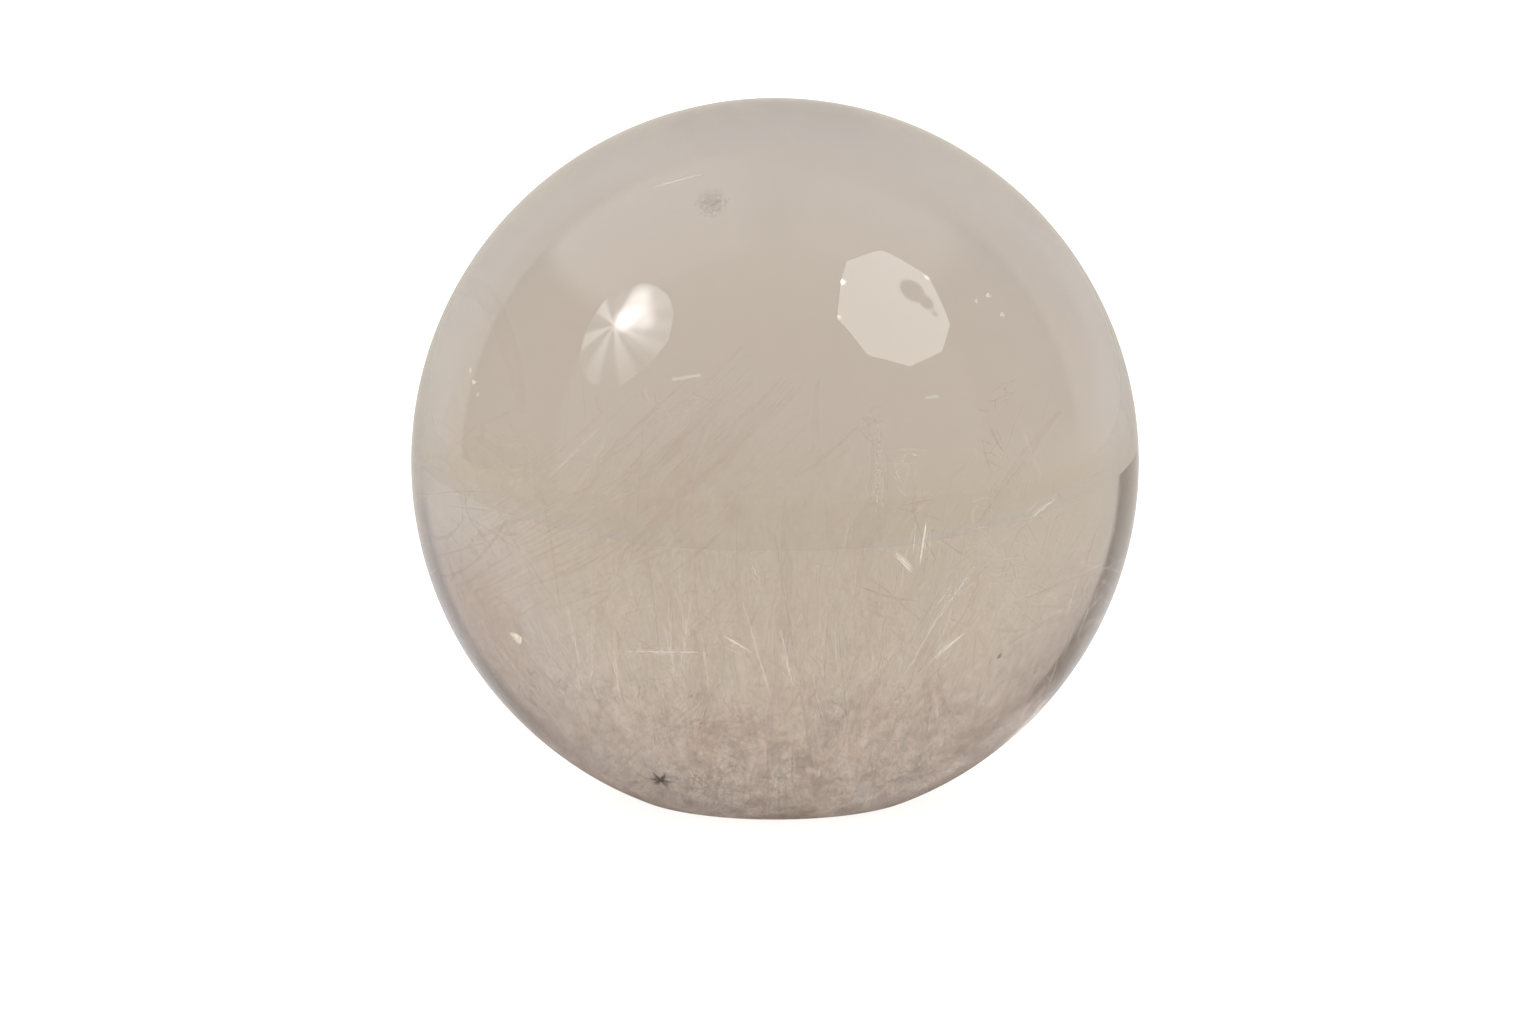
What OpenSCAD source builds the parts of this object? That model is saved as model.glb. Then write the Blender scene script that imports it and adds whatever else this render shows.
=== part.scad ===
// Rock-crystal ball with needle inclusions, in millimetres, +Z up.
// The origin is the centre of the ground flat that the ball stands on, and the front faces -Y.
// The ball is one stone. What grew inside it are separate crystals, each in its own pocket.

/* [Ball] */
// Diameter of the polished sphere
ball_d = 100; // [83:0.1:150]
// Diameter of the ground flat under the ball
base_d = 40; // [24:1:44]
// Width of the bevel around the ground flat
base_bevel = 0.4; // [0.1:0.1:1]

/* [Inclusions] */
// Least depth of an inclusion under the polished surface
skin = 2; // [1:0.1:4]
// Clearance between an inclusion and the wall of its pocket
pocket_gap = 0.02; // [0.01:0.01:0.05]
// Thickness of a long needle
needle_d = 0.4; // [0.2:0.05:0.6]
// Thickness of a needle of the upright spray
spray_d = 0.3; // [0.2:0.05:0.5]
// Thickness of a fibre of the mat, streaks and bands
fibre_d = 0.24; // [0.16:0.02:0.4]

/* [Sprays] */
// Needles around each quarter of the spray
spray_columns = 4; // [2:1:5]
// Rings of needles in each quarter of the spray
spray_rings = 3; // [2:1:4]

/* [Mats] */
// Fibres in each layer of the mat
mat_fibres = 16; // [6:1:20]
// Distance between neighbouring fibres of one layer
mat_pitch = 2.8; // [2:0.1:3.4]
// Rise of a mat fibre at its far end
mat_rise = 0.2; // [0:0.05:0.3]

/* [Single inclusions] */
// Length of the broad blade
blade_l = 14; // [8:1:18]
// Width of the broad blade
blade_w = 1.6; // [0.8:0.1:2.4]
// Thickness of the broad blade
blade_t = 0.2; // [0.1:0.05:0.4]
// Diameter of the round fluid pocket
pocket_d = 2.6; // [1.5:0.1:4]
// Diameter of the healed fracture
fracture_d = 3.2; // [2:0.1:5]
// Thickness of the healed fracture and of the flecks
film_t = 0.12; // [0.08:0.02:0.3]
// Reach of the dark rosette's spikes from its middle
rosette_r = 1.9; // [1:0.1:2.4]
// Spikes that cross in the dark rosette
rosette_spikes = 6; // [3:1:8]
// Width of a spike of the dark rosette
spike_d = 0.4; // [0.3:0.05:0.6]
// Width of the dark grain
grain_d = 0.9; // [0.5:0.1:1.4]
// Width of a bright fleck
fleck_d = 0.9; // [0.5:0.1:1.4]

/* [Hidden] */

ball_r = ball_d / 2;
base_r = base_d / 2;
// Height of the sphere's middle over the flat
centre_z = sqrt(ball_r * ball_r - base_r * base_r);
// An inclusion ends inside a sphere of this radius
inner_r = ball_r - skin;
round_fn = 96;
needle_fn = 24;
golden_angle = 137.508;

// Places inside the ball are shares of its radius from its middle: right, back, up.
left_lines = [
    [[-0.26, 0.06, -0.34], [-0.12, 0.02, -0.34]],
    [[-0.05, 0.17, -0.45], [-0.09, 0.04, -0.40]],
    [[-0.36, 0.10, -0.10], [-0.30, -0.02, 0.06]],
    [[-0.44, -0.10, -0.02], [-0.34, -0.16, 0.10]]
];
centre_lines = [
    [[-0.03, 0.00, -0.21], [-0.05, -0.12, -0.16]],
    [[-0.04, 0.01, -0.34], [-0.09, 0.01, -0.31]],
    [[0.03, 0.04, -0.40], [0.01, 0.00, -0.30]],
    [[0.08, 0.11, -0.46], [0.06, -0.07, -0.36]],
    [[0.10, -0.10, -0.06], [0.16, -0.16, 0.08]]
];
right_lines = [
    [[0.28, -0.17, -0.17], [0.29, -0.15, -0.09]],
    [[0.27, 0.05, -0.30], [0.36, -0.02, -0.19]],
    [[0.26, 0.08, -0.36], [0.32, 0.09, -0.31]],
    [[0.24, 0.02, -0.20], [0.21, 0.02, -0.17]],
    [[0.43, 0.13, -0.12], [0.47, 0.16, -0.09]],
    [[0.50, 0.00, -0.04], [0.46, -0.06, 0.10]]
];
upper_line = [[-0.24, 0.06, 0.53], [-0.13, 0.06, 0.56]];
edge_lines = [
    [[0.61, 0.12, -0.46], [0.63, 0.08, -0.40]],
    [[0.65, 0.02, -0.46], [0.68, -0.02, -0.40]],
    [[0.68, -0.06, -0.40], [0.69, -0.08, -0.34]],
    [[0.63, 0.10, -0.32], [0.66, 0.06, -0.26]],
    [[0.70, 0.00, -0.28], [0.71, -0.03, -0.21]],
    [[0.60, -0.10, -0.46], [0.62, -0.14, -0.40]]
];
// The dark streaks run side by side along this line, and their pitch follows the ball as the line does
streak_line = [[-0.28, 0.03, -0.18], [0.00, 0.03, 0.11]];
streak_count = 7;
streak_pitch = 0.018 * ball_r;
// The dark fibres on the left run side by side along this line
dark_line = [[-0.54, 0.00, -0.24], [-0.30, -0.06, -0.10]];
dark_count = 12;
dark_pitch = 0.022 * ball_r;

// The lowest layer of the mat and the step between layers
mat_lowest_z = -0.83;
mat_step = 0.11;
// The dark rosette sits midway between the second and the third layer
rosette_at = [-0.25, -0.22, mat_lowest_z + 1.5 * mat_step];
// The spray fans out from a point under the ball, over the fourth layer of the mat
spray_focus = [0, 0, -1.30];
spray_root_z = mat_lowest_z + 3.4 * mat_step;
spray_tip_z = -0.13;
spray_tip_spread = 0.10;
spray_first_ring = 0.14;
spray_ring_step = 0.16;

blade_at = [0.19, -0.08, 0.00];
blade_tilt = [36, 6, 0];
fluid_at = [-0.13, -0.09, 0.56];
fracture_at = [-0.53, -0.15, -0.34];
fracture_tilt = [62, 28, 0];
grain_at = [0.46, -0.19, -0.37];
left_flecks = [[-0.55, 0.10, 0.13], [-0.57, 0.08, 0.16], [-0.53, 0.12, 0.10]];
right_flecks = [[0.40, 0.04, 0.31], [0.43, 0.02, 0.28], [0.37, 0.06, 0.29]];

// A place in the ball in millimetres from the origin
function place(share) = [0, 0, centre_z] + ball_r * share;
// A point's distance from the ball's middle
function depth_r(point) = norm(point - [0, 0, centre_z]);
// A point pulled towards the middle until it keeps the skin over it
function kept_in(point, spare) = depth_r(point) <= inner_r - spare ? point
    : [0, 0, centre_z] + (point - [0, 0, centre_z]) * (inner_r - spare) / depth_r(point);
// A repeatable number between -1 and 1 for a piece's index
function varied(index, salt) = sin(index * golden_angle + salt * 71);

// One straight round needle between two points, with its pocket's clearance
module needle(from, to, wide, gap) {
    run = to - from;
    long = norm(run);
    translate(from)
        rotate([0, acos(run.z / long), atan2(run.y, run.x)])
            translate([0, 0, -gap])
                cylinder(h = long + 2 * gap, d = wide + 2 * gap, $fn = needle_fn);
}

// Needles along a list of lines whose ends are shares of the radius
module lone_needles(lines, wide, gap) {
    for (line = lines)
        needle(kept_in(place(line[0]), wide), kept_in(place(line[1]), wide), wide, gap);
}

// A quarter of the upright spray, as rays from its focus
module spray_quarter(first_angle, gap) {
    focus = place(spray_focus);
    for (ring = [0 : spray_rings - 1], column = [0 : spray_columns - 1]) {
        index = ring * spray_columns + column;
        angle = first_angle + (column + 0.5 + 0.3 * varied(index, 1)) * 90 / spray_columns;
        out = spray_first_ring + ring * spray_ring_step + 0.03 * varied(index, 2);
        root = place([out * cos(angle), out * sin(angle), spray_root_z]);
        rise = ball_r * (spray_tip_z + spray_tip_spread * varied(index, 3) - spray_root_z);
        tip = root + (root - focus) * rise / (root.z - focus.z);
        needle(root, kept_in(tip, spray_d), spray_d, gap);
    }
}

// One layer of nearly level fibres, side by side across the ball
module mat_layer(layer, angle, gap) {
    z = centre_z + ball_r * (mat_lowest_z + layer * mat_step);
    open_r = sqrt(inner_r * inner_r - pow(centre_z - z, 2)) - fibre_d;
    rotate([0, 0, angle])
        for (i = [0 : mat_fibres - 1]) {
            across = (i - (mat_fibres - 1) / 2) * mat_pitch;
            half = sqrt(max(open_r * open_r - across * across, 0));
            start = -half * (0.75 + 0.2 * varied(i, layer));
            end = half * (0.75 + 0.2 * varied(i, layer + 4));
            if (half > mat_pitch)
                needle([start, across, z], [end, across + 0.3 * varied(i, 2), z + mat_rise * varied(i, 3)],
                    fibre_d, gap);
        }
}

// Fibres side by side around a line, staggered along it
module fibre_bundle(line, count, pitch, gap) {
    from = place(line[0]);
    run = place(line[1]) - from;
    for (i = [0 : count - 1]) {
        ring = pitch * sqrt(i + 0.5);
        side = [0, ring * cos(i * golden_angle), ring * sin(i * golden_angle)];
        start = from + side + run * (0.15 + 0.15 * varied(i, 5));
        end = from + side + run * (0.85 + 0.15 * varied(i, 6));
        needle(kept_in(start, fibre_d), kept_in(end, fibre_d), fibre_d, gap);
    }
}

module quartz_form() {
    difference() {
        translate([0, 0, centre_z]) sphere(r = ball_r, $fn = round_fn);
        translate([0, 0, -ball_d]) cylinder(h = ball_d, r = ball_r, $fn = round_fn);
        // Bevel around the ground flat
        rotate_extrude($fn = round_fn)
            polygon([
                [base_r - base_bevel, -base_bevel],
                [base_r - base_bevel, 0],
                [base_r + base_bevel, 2 * base_bevel],
                [base_r + 3 * base_bevel, -base_bevel]
            ]);
    }
}

module needles_left_form(gap) { lone_needles(left_lines, needle_d, gap); }
module needles_centre_form(gap) { lone_needles(centre_lines, needle_d, gap); }
module needles_right_form(gap) { lone_needles(right_lines, needle_d, gap); }
module needle_upper_form(gap) { lone_needles([upper_line], fibre_d, gap); }
module spray_front_form(gap) { spray_quarter(225, gap); }
module spray_right_form(gap) { spray_quarter(-45, gap); }
module spray_back_form(gap) { spray_quarter(45, gap); }
module spray_left_form(gap) { spray_quarter(135, gap); }
module dark_streaks_form(gap) { fibre_bundle(streak_line, streak_count, streak_pitch, gap); }
module dark_fibres_left_form(gap) { fibre_bundle(dark_line, dark_count, dark_pitch, gap); }
module pale_fibres_right_form(gap) { lone_needles(edge_lines, fibre_d, gap); }

module broad_blade_form(gap) {
    translate(place(blade_at))
        rotate(blade_tilt)
            cube([blade_w + 2 * gap, blade_t + 2 * gap, blade_l + 2 * gap], center = true);
}

module fluid_pocket_form(gap) {
    translate(place(fluid_at)) sphere(d = pocket_d + 2 * gap, $fn = round_fn);
}

module healed_fracture_form(gap) {
    translate(place(fracture_at))
        rotate(fracture_tilt)
            cylinder(h = film_t + 2 * gap, d = fracture_d + 2 * gap, center = true, $fn = round_fn);
}

// Six-sided spikes that cross in one middle and point to all sides
module dark_rosette_form(gap) {
    translate(place(rosette_at))
        for (i = [0 : rosette_spikes - 1])
            rotate([i * 63 + 15, i * 37, i * 90])
                cylinder(h = 2 * (rosette_r - 0.12 * i + gap), d = spike_d + 2 * gap, center = true, $fn = 6);
}

// A six-sided grain with pointed ends
module dark_grain_form(gap) {
    wide = grain_d + 2 * gap;
    translate(place(grain_at))
        rotate([30, 50, 0])
            cylinder(h = 1.8 * wide, d = wide, center = true, $fn = 6);
}

module flecks_form(places, gap) {
    for (i = [0 : len(places) - 1])
        translate(place(places[i]))
            rotate([60 + 20 * i, 15 * i, 40 * i])
                cylinder(h = film_t + 2 * gap, d = fleck_d + 2 * gap, center = true, $fn = 6);
}

module quartz_ball() {
    color([0.77, 0.73, 0.68, 0.4])
        difference() {
            quartz_form();
            needles_left_form(pocket_gap);
            needles_centre_form(pocket_gap);
            needles_right_form(pocket_gap);
            needle_upper_form(pocket_gap);
            spray_front_form(pocket_gap);
            spray_right_form(pocket_gap);
            spray_back_form(pocket_gap);
            spray_left_form(pocket_gap);
            mat_layer(0, 20, pocket_gap);
            mat_layer(1, 80, pocket_gap);
            mat_layer(2, 140, pocket_gap);
            mat_layer(3, -10, pocket_gap);
            dark_streaks_form(pocket_gap);
            dark_fibres_left_form(pocket_gap);
            pale_fibres_right_form(pocket_gap);
            broad_blade_form(pocket_gap);
            fluid_pocket_form(pocket_gap);
            healed_fracture_form(pocket_gap);
            dark_rosette_form(pocket_gap);
            dark_grain_form(pocket_gap);
            flecks_form(left_flecks, pocket_gap);
            flecks_form(right_flecks, pocket_gap);
        }
}

module needles_left() { color("wheat") needles_left_form(0); }
module needles_centre() { color("wheat") needles_centre_form(0); }
module needles_right() { color("wheat") needles_right_form(0); }
module needle_upper() { color("white") needle_upper_form(0); }
module spray_front() { color("tan") spray_front_form(0); }
module spray_right() { color("tan") spray_right_form(0); }
module spray_back() { color("tan") spray_back_form(0); }
module spray_left() { color("tan") spray_left_form(0); }
module mat_first_layer() { color("rosybrown") mat_layer(0, 20, 0); }
module mat_second_layer() { color("rosybrown") mat_layer(1, 80, 0); }
module mat_third_layer() { color("tan") mat_layer(2, 140, 0); }
module mat_fourth_layer() { color("tan") mat_layer(3, -10, 0); }
module dark_streaks() { color("dimgray") dark_streaks_form(0); }
module dark_fibres_left() { color("dimgray") dark_fibres_left_form(0); }
module pale_fibres_right() { color("wheat") pale_fibres_right_form(0); }
module broad_blade() { color("antiquewhite") broad_blade_form(0); }
module fluid_pocket() { color("slategray") fluid_pocket_form(0); }
module healed_fracture() { color("plum") healed_fracture_form(0); }
module dark_rosette() { color("saddlebrown") dark_rosette_form(0); }
module dark_grain() { color("black") dark_grain_form(0); }
module flecks_left() { color("white") flecks_form(left_flecks, 0); }
module flecks_right() { color("white") flecks_form(right_flecks, 0); }

quartz_ball();
needles_left();
needles_centre();
needles_right();
needle_upper();
spray_front();
spray_right();
spray_back();
spray_left();
mat_first_layer();
mat_second_layer();
mat_third_layer();
mat_fourth_layer();
dark_streaks();
dark_fibres_left();
pale_fibres_right();
broad_blade();
fluid_pocket();
healed_fracture();
dark_rosette();
dark_grain();
flecks_left();
flecks_right();
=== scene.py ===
"""A rock-crystal ball with needle inclusions, resting on its ground flat under two studio lamps."""

import logging
import math
import random
from dataclasses import dataclass, field
from enum import Enum
from typing import Callable, Sequence

import bpy
from mathutils import Matrix, Vector, noise


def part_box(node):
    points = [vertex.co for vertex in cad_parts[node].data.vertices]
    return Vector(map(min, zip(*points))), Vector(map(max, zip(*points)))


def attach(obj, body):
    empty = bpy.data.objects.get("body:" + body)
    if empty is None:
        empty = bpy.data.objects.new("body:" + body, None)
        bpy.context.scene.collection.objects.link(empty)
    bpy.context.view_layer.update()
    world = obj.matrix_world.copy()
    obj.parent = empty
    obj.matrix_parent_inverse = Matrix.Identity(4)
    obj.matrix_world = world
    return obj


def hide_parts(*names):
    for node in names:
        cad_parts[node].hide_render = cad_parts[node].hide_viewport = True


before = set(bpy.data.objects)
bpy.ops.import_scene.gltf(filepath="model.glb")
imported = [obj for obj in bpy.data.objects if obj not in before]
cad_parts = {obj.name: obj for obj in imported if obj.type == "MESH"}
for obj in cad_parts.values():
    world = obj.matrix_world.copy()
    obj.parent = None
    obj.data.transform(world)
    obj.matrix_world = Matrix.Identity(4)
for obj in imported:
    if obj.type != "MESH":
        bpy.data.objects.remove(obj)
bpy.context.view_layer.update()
LOG = logging.getLogger("crystal_ball")

Share = tuple[float, float, float]
Colour = tuple[float, float, float]
Line = tuple[Share, Share]
Span = tuple[float, float]
Socket = bpy.types.NodeSocket
MILLIMETRE = 0.001
ON_THE_FLAT = 1e-6
CRYSTAL_CREASE = math.radians(62)
FROST_REACH = 0.2 * MILLIMETRE


# ---------------------------------------------------------------- bench work


def deselect() -> None:
    """Leaves nothing selected, so that an operator touches only what is picked next."""
    if bpy.context.object is not None and bpy.context.object.mode != "OBJECT":
        bpy.ops.object.mode_set(mode="OBJECT")
    bpy.ops.object.select_all(action="DESELECT")


def pick(obj: bpy.types.Object) -> None:
    """Selects one object and makes it active.

    Args:
        obj: The object that the next operator works on.
    """
    deselect()
    obj.select_set(True)
    bpy.context.view_layer.objects.active = obj


def select_parts(obj: bpy.types.Object, kind: str, wanted: Callable[..., bool]) -> None:
    """Selects some parts of a mesh, and leaves the object in edit mode.

    Args:
        obj: A mesh object.
        kind: "VERT", "EDGE" or "FACE".
        wanted: Says for a vertex's place, an edge's two ends or a face's normal whether it is selected.
    """
    pick(obj)
    bpy.ops.object.mode_set(mode="EDIT")
    bpy.ops.mesh.select_mode(type=kind)
    bpy.ops.mesh.select_all(action="DESELECT")
    bpy.ops.object.mode_set(mode="OBJECT")
    mesh = obj.data
    for vertex in mesh.vertices if kind == "VERT" else ():
        vertex.select = wanted(vertex.co)
    for edge in mesh.edges if kind == "EDGE" else ():
        edge.select = wanted(*(mesh.vertices[end].co for end in edge.vertices))
    for face in mesh.polygons if kind == "FACE" else ():
        face.select = wanted(face.normal)
    bpy.ops.object.mode_set(mode="EDIT")


def face_outwards() -> None:
    """Turns all the faces of the mesh in edit mode outwards, and leaves edit mode."""
    bpy.ops.mesh.select_all(action="SELECT")
    bpy.ops.mesh.normals_make_consistent(inside=False)
    deselect()


def apply_place(obj: bpy.types.Object) -> None:
    """Puts an object's place, turn and size into its mesh."""
    pick(obj)
    bpy.ops.object.transform_apply(location=True, rotation=True, scale=True)


def joined(objects: Sequence[bpy.types.Object], name: str) -> bpy.types.Object:
    """Makes one piece of several meshes.

    Args:
        objects: Mesh objects, each with its place in its mesh.
        name: The piece's name.

    Returns:
        The joined piece.
    """
    deselect()
    for obj in objects:
        obj.select_set(True)
    bpy.context.view_layer.objects.active = objects[0]
    if len(objects) > 1:
        bpy.ops.object.join()
    piece = bpy.context.view_layer.objects.active
    piece.name = name
    piece.data.name = name
    return piece


def placed(name: str, data: bpy.types.ID) -> bpy.types.Object:
    """Puts a finished mesh or a camera in the scene.

    Args:
        name: The object's name.
        data: What the object shows.

    Returns:
        The object.
    """
    obj = bpy.data.objects.new(name, data)
    bpy.context.scene.collection.objects.link(obj)
    return obj


# ------------------------------------------------------------- ball's frame


@dataclass(frozen=True)
class BallFrame:
    """The polished sphere's middle and radius, in metres, as the design gives them.

    Places inside the ball are shares of its radius from its middle: right, back, up.
    """

    middle: Vector
    radius: float
    skin: float = 2.0 * MILLIMETRE

    @classmethod
    def from_design(cls) -> "BallFrame":
        """Reads the sphere from the box of the ball's node."""
        low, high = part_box("quartz_ball")
        radius = (high.x - low.x) / 2
        return cls(Vector(((low.x + high.x) / 2, (low.y + high.y) / 2, high.z - radius)), radius)

    def place(self, share: Sequence[float]) -> Vector:
        """Gives the place of a share of the radius."""
        return self.middle + self.radius * Vector(share)

    def kept_in(self, point: Vector, spare: float = 0.0) -> Vector:
        """Pulls a point towards the middle until the stone covers it.

        Args:
            point: A place in metres.
            spare: More depth under the surface, in metres.

        Returns:
            The point, or the nearest place to it that lies deep enough and over the flat.
        """
        out = point - self.middle
        most = self.radius - self.skin - spare
        if out.length > most:
            point = self.middle + out * (most / out.length)
        lowest = self.skin * 0.6 + spare
        return Vector((point.x, point.y, max(point.z, lowest)))


# ---------------------------------------------------------- shader benchwork


def wire(
    tree: bpy.types.NodeTree, kind: str, inputs: dict[int | str, object] | None = None, **settings: object
) -> bpy.types.Node:
    """Adds a shader node, with its settings and all that goes into it.

    Args:
        tree: The tree that gets the node.
        kind: The node's type, without the words that all types start with.
        inputs: For an input's name or number, its value or the output that feeds it.
        settings: The node's own settings.

    Returns:
        The node.
    """
    node = tree.nodes.new("ShaderNode" + kind)
    for name, value in settings.items():
        setattr(node, name, value)
    for key, value in (inputs or {}).items():
        if isinstance(value, bpy.types.NodeSocket):
            tree.links.new(value, node.inputs[key])
        else:
            node.inputs[key].default_value = value
    return node


def product(tree: bpy.types.NodeTree, first: Socket, second: Socket) -> Socket:
    """Multiplies two numbers."""
    return wire(tree, "Math", {0: first, 1: second}, operation="MULTIPLY").outputs[0]


def scaled(tree: bpy.types.NodeTree, value: Socket, factor: float, added: Socket) -> Socket:
    """Multiplies a number by a fixed factor and adds another number."""
    return wire(tree, "Math", {0: value, 1: factor, 2: added}, operation="MULTIPLY_ADD").outputs[0]


def ranged(
    tree: bpy.types.NodeTree, value: Socket, target: Span, source: Span = (0.0, 1.0), soft: bool = False
) -> Socket:
    """Maps a number from one range to another.

    Args:
        tree: The tree that gets the node.
        value: The number.
        target: The range that it is mapped to.
        source: The range that it comes from.
        soft: Whether the change eases in and out.

    Returns:
        The mapped number.
    """
    ends = {"From Min": source[0], "From Max": source[1], "To Min": target[0], "To Max": target[1]}
    kind = "SMOOTHSTEP" if soft else "LINEAR"
    return wire(tree, "MapRange", {"Value": value, **ends}, interpolation_type=kind).outputs[0]


def blended(tree: bpy.types.NodeTree, share: Socket, first: object, second: object) -> Socket:
    """Blends two colours by a share, 0 for the first and 1 for the second."""
    return wire(tree, "Mix", {"Factor": share, 6: first, 7: second}, data_type="RGBA").outputs[2]


def ramped(
    tree: bpy.types.NodeTree, value: Socket, stops: Sequence[tuple[float, Colour]], ease: str
) -> Socket:
    """Gives each number a colour.

    Args:
        tree: The tree that gets the ramp.
        value: The number.
        stops: Positions and colours, from the first to the last.
        ease: How the ramp goes from one colour to the next.

    Returns:
        The colour.
    """
    ramp = wire(tree, "ValToRGB", {"Fac": value})
    ramp.color_ramp.interpolation = ease
    steps = ramp.color_ramp.elements
    for index, (position, colour) in enumerate((stops[0], stops[-1])):
        steps[index].position, steps[index].color = position, (*colour, 1)
    for position, colour in stops[1:-1]:
        steps.new(position).color = (*colour, 1)
    return ramp.outputs["Color"]


def new_group(name: str, inputs: Sequence[tuple[str, str, object]], outputs: Sequence[tuple[str, str]]):
    """Starts a shader node group.

    Args:
        name: The group's name.
        inputs: Name, socket type and default of each input.
        outputs: Name and socket type of each output.

    Returns:
        The group's tree, the outputs of its input node and the inputs of its output node.
    """
    tree = bpy.data.node_groups.new(name, "ShaderNodeTree")
    for label, kind, value in inputs:
        socket = tree.interface.new_socket(label, in_out="INPUT", socket_type=kind)
        socket.default_value = value
    for label, kind in outputs:
        tree.interface.new_socket(label, in_out="OUTPUT", socket_type=kind)
    return tree, tree.nodes.new("NodeGroupInput").outputs, tree.nodes.new("NodeGroupOutput").inputs


def growth_grain() -> bpy.types.NodeTree:
    """Makes the crystals' shared effect: each has its own tone, and clouds and fine bands cross it.

    Returns:
        A group that mixes a pale and a deep colour, and gives a roughness and a height.
    """
    known = bpy.data.node_groups.get("growth_grain")
    if known is not None:
        return known
    tree, given, result = new_group(
        "growth_grain",
        [
            ("Pale", "NodeSocketColor", (1, 1, 1, 1)),
            ("Deep", "NodeSocketColor", (0, 0, 0, 1)),
            ("Tone", "NodeSocketFloat", 0.5),
            ("Cloud Size", "NodeSocketFloat", 160.0),
            ("Band Size", "NodeSocketFloat", 2400.0),
            ("Smoothness", "NodeSocketFloat", 0.25),
        ],
        [("Color", "NodeSocketColor"), ("Roughness", "NodeSocketFloat"), ("Height", "NodeSocketFloat")],
    )
    place = wire(tree, "TexCoord").outputs["Object"]
    cloud = wire(tree, "TexNoise", {"Vector": place, "Scale": given["Cloud Size"], "Detail": 3.0})
    bands = wire(tree, "TexNoise", {"Vector": place, "Scale": given["Band Size"], "Detail": 1.0})
    share = ranged(tree, scaled(tree, cloud.outputs["Fac"], 0.9, given["Tone"]), (0.0, 1.0), (0.25, 1.45))
    tree.links.new(blended(tree, share, given["Deep"], given["Pale"]), result["Color"])
    tree.links.new(scaled(tree, bands.outputs["Fac"], 0.22, given["Smoothness"]), result["Roughness"])
    tree.links.new(bands.outputs["Fac"], result["Height"])
    return tree


def ground_mask() -> bpy.types.NodeTree:
    """Makes the mask of the ground flat, whose frost thins out over the bevel.

    Returns:
        A group with the height that the frost reaches, and the mask as its output.
    """
    tree, given, result = new_group(
        "ground_mask", [("Reach", "NodeSocketFloat", FROST_REACH)], [("Mask", "NodeSocketFloat")]
    )
    place = wire(tree, "SeparateXYZ", {0: wire(tree, "TexCoord").outputs["Object"]})
    mask = ranged(tree, place.outputs["Z"], (1.0, 0.0), (0.0, given["Reach"]), soft=True)
    tree.links.new(mask, result["Mask"])
    return tree


def blank_tree(owner: bpy.types.Material | bpy.types.World) -> bpy.types.NodeTree:
    """Gives a material or a world an empty node tree."""
    owner.use_nodes = True
    owner.node_tree.nodes.clear()
    return owner.node_tree


def blank_material(
    name: str, inputs: dict[str, object]
) -> tuple[bpy.types.Material, bpy.types.NodeTree, bpy.types.NodeInputs, bpy.types.Node]:
    """Starts a material with its main shader.

    Args:
        name: The material's name.
        inputs: The values of the shader's inputs.

    Returns:
        The material, its tree, the inputs of its Principled shader and its output.
    """
    material = bpy.data.materials.new(name)
    tree = blank_tree(material)
    shader = wire(tree, "BsdfPrincipled", inputs)
    output = wire(tree, "OutputMaterial", {"Surface": shader.outputs["BSDF"]})
    return material, tree, shader.inputs, output


# ---------------------------------------------------------------- finishes


@dataclass(frozen=True)
class QuartzFinish:
    """Clear, faintly smoky quartz, polished all over and frosted on its ground flat."""

    name: str = "smoky_quartz"
    colour: Colour = (0.965, 0.955, 0.945)
    index: float = 1.544
    smoke: Colour = (0.514, 0.402, 0.274)
    smoke_density: float = 8.0
    polished: float = 0.0
    frosted: float = 0.42

    def build(self) -> bpy.types.Material:
        """Makes the material.

        Returns:
            A glass whose smoke deepens with the way through it.
        """
        glass = {"Base Color": (*self.colour, 1), "IOR": self.index, "Transmission Weight": 1.0}
        material, tree, shader, output = blank_material(self.name, glass)
        frost = wire(tree, "Group", node_tree=ground_mask()).outputs["Mask"]
        tree.links.new(ranged(tree, frost, (self.polished, self.frosted)), shader["Roughness"])
        smoke = wire(tree, "VolumeAbsorption", {"Color": (*self.smoke, 1), "Density": self.smoke_density})
        tree.links.new(smoke.outputs[0], output.inputs["Volume"])
        return material


@dataclass(frozen=True)
class CrystalFinish:
    """A crystal whose tone runs between a pale and a deep colour."""

    name: str
    pale: Colour
    deep: Colour
    smoothness: float
    clearness: Span
    cloud: float = 160.0
    bands: float = 2400.0
    relief: float = 0.15
    groove: float = 0.05 * MILLIMETRE
    index: float = 1.7

    def build(self) -> bpy.types.Material:
        """Makes the material.

        Returns:
            A material that reads each crystal's own tone and body.
        """
        material, tree, shader, _ = blank_material(self.name, {"IOR": self.index})
        tone, body = (
            wire(tree, "Attribute", attribute_name=mark).outputs["Fac"] for mark in ("tone", "body")
        )
        looks = {
            "Pale": (*self.pale, 1), "Deep": (*self.deep, 1), "Tone": tone,
            "Cloud Size": self.cloud, "Band Size": self.bands, "Smoothness": self.smoothness,
        }
        grain = add_grain(tree, looks, shader)
        height = {"Strength": self.relief, "Distance": self.groove, "Height": grain["Height"]}
        tree.links.new(wire(tree, "Bump", height).outputs["Normal"], shader["Normal"])
        tree.links.new(ranged(tree, body, self.clearness), shader["Alpha"])
        return material


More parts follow.
